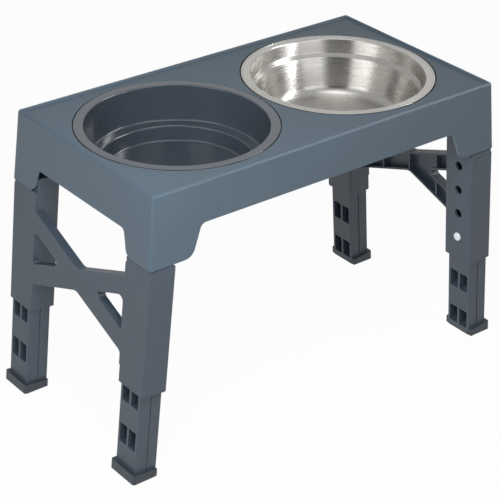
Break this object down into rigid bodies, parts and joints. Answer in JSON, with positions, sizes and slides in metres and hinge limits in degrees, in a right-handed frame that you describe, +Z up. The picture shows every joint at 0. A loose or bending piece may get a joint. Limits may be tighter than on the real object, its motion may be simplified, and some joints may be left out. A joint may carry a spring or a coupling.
{
  "type": "raised pet feeder",
  "caption": "Raised feeder for pets: a deck with lift-out plastic and steel bowls on folding leg frames whose legs telescope and lock with snap buttons.",
  "frame": {"origin": "centre of the footprint, on the floor under the feet", "axes": "+X towards the steel bowl's end, -Y towards the front long side, +Z up"},
  "size_m": [0.4908, 0.2392, 0.31],
  "materials": {
    "deck_plastic": "slate blue-grey moulded polypropylene, satin",
    "leg_plastic": "slate blue-grey moulded polypropylene, satin",
    "bowl_plastic": "dark grey polypropylene, glossy inside",
    "bowl_steel": "stainless steel, brushed round the bowl's axis",
    "sole_rubber": "black rubber",
    "button_plastic": "white acetal",
    "pin_steel": "plain steel",
    "clip_steel": "spring steel strip"
  },
  "bodies": {
    "deck": {"table_deck": "deck_plastic", "hinge_pins_left": "pin_steel", "hinge_pins_right": "pin_steel"},
    "plastic_bowl": {"plastic_bowl": "bowl_plastic"},
    "steel_bowl": {"steel_bowl": "bowl_steel"},
    "leg_frame_left": {"leg_frame_left": "leg_plastic"},
    "leg_frame_right": {"leg_frame_right": "leg_plastic"},
    "inner_leg_front_right": {"inner_leg_front_right": "leg_plastic", "foot_cap_front_right": "leg_plastic", "foot_pad_front_right": "sole_rubber", "spring_clip_front_right": "clip_steel"},
    "snap_button_front_right": {"snap_button_front_right": "button_plastic"},
    "inner_leg_rear_right": {"inner_leg_rear_right": "leg_plastic", "foot_cap_rear_right": "leg_plastic", "foot_pad_rear_right": "sole_rubber", "spring_clip_rear_right": "clip_steel"},
    "snap_button_rear_right": {"snap_button_rear_right": "button_plastic"},
    "inner_leg_front_left": {"inner_leg_front_left": "leg_plastic", "foot_cap_front_left": "leg_plastic", "foot_pad_front_left": "sole_rubber", "spring_clip_front_left": "clip_steel"},
    "snap_button_front_left": {"snap_button_front_left": "button_plastic"},
    "inner_leg_rear_left": {"inner_leg_rear_left": "leg_plastic", "foot_cap_rear_left": "leg_plastic", "foot_pad_rear_left": "sole_rubber", "spring_clip_rear_left": "clip_steel"},
    "snap_button_rear_left": {"snap_button_rear_left": "button_plastic"}
  },
  "joints": [
    {"name": "plastic_bowl_lift", "type": "slide", "parent": "deck", "child": "plastic_bowl", "axis": [0, 0, 1], "range_m": [0, 0.08]},
    {"name": "steel_bowl_lift", "type": "slide", "parent": "deck", "child": "steel_bowl", "axis": [0, 0, 1], "range_m": [0, 0.08]},
    {"name": "fold_left", "type": "hinge", "parent": "deck", "child": "leg_frame_left", "pos_m": [-0.18848, 0, 0.264], "axis": [0, -1, 0], "range_deg": [0, 95.05]},
    {"name": "fold_right", "type": "hinge", "parent": "deck", "child": "leg_frame_right", "pos_m": [0.18848, 0, 0.264], "axis": [0, 1, 0], "range_deg": [0, 95.05]},
    {"name": "leg_slide_front_right", "type": "slide", "parent": "leg_frame_right", "child": "inner_leg_front_right", "axis": [-0.088, 0, 0.9961], "range_m": [0, 0.0885], "deforming": ["snap_button_front_right", "spring_clip_front_right"]},
    {"name": "button_press_front_right", "type": "slide", "parent": "inner_leg_front_right", "child": "snap_button_front_right", "axis": [0.9961, 0, 0.088], "range_m": [0, 0.00535], "stiffness_N_per_m": 800, "springref_m": -0.002, "deforming": ["spring_clip_front_right"]},
    {"name": "leg_slide_rear_right", "type": "slide", "parent": "leg_frame_right", "child": "inner_leg_rear_right", "axis": [-0.088, 0, 0.9961], "range_m": [0, 0.0885], "deforming": ["snap_button_rear_right", "spring_clip_rear_right"]},
    {"name": "button_press_rear_right", "type": "slide", "parent": "inner_leg_rear_right", "child": "snap_button_rear_right", "axis": [0.9961, 0, 0.088], "range_m": [0, 0.00535], "stiffness_N_per_m": 800, "springref_m": -0.002, "deforming": ["spring_clip_rear_right"]},
    {"name": "leg_slide_front_left", "type": "slide", "parent": "leg_frame_left", "child": "inner_leg_front_left", "axis": [0.088, 0, 0.9961], "range_m": [0, 0.0885], "deforming": ["snap_button_front_left", "spring_clip_front_left"]},
    {"name": "button_press_front_left", "type": "slide", "parent": "inner_leg_front_left", "child": "snap_button_front_left", "axis": [-0.9961, 0, 0.088], "range_m": [0, 0.00535], "stiffness_N_per_m": 800, "springref_m": -0.002, "deforming": ["spring_clip_front_left"]},
    {"name": "leg_slide_rear_left", "type": "slide", "parent": "leg_frame_left", "child": "inner_leg_rear_left", "axis": [0.088, 0, 0.9961], "range_m": [0, 0.0885], "deforming": ["snap_button_rear_left", "spring_clip_rear_left"]},
    {"name": "button_press_rear_left", "type": "slide", "parent": "inner_leg_rear_left", "child": "snap_button_rear_left", "axis": [-0.9961, 0, 0.088], "range_m": [0, 0.00535], "stiffness_N_per_m": 800, "springref_m": -0.002, "deforming": ["spring_clip_rear_left"]}
  ]
}
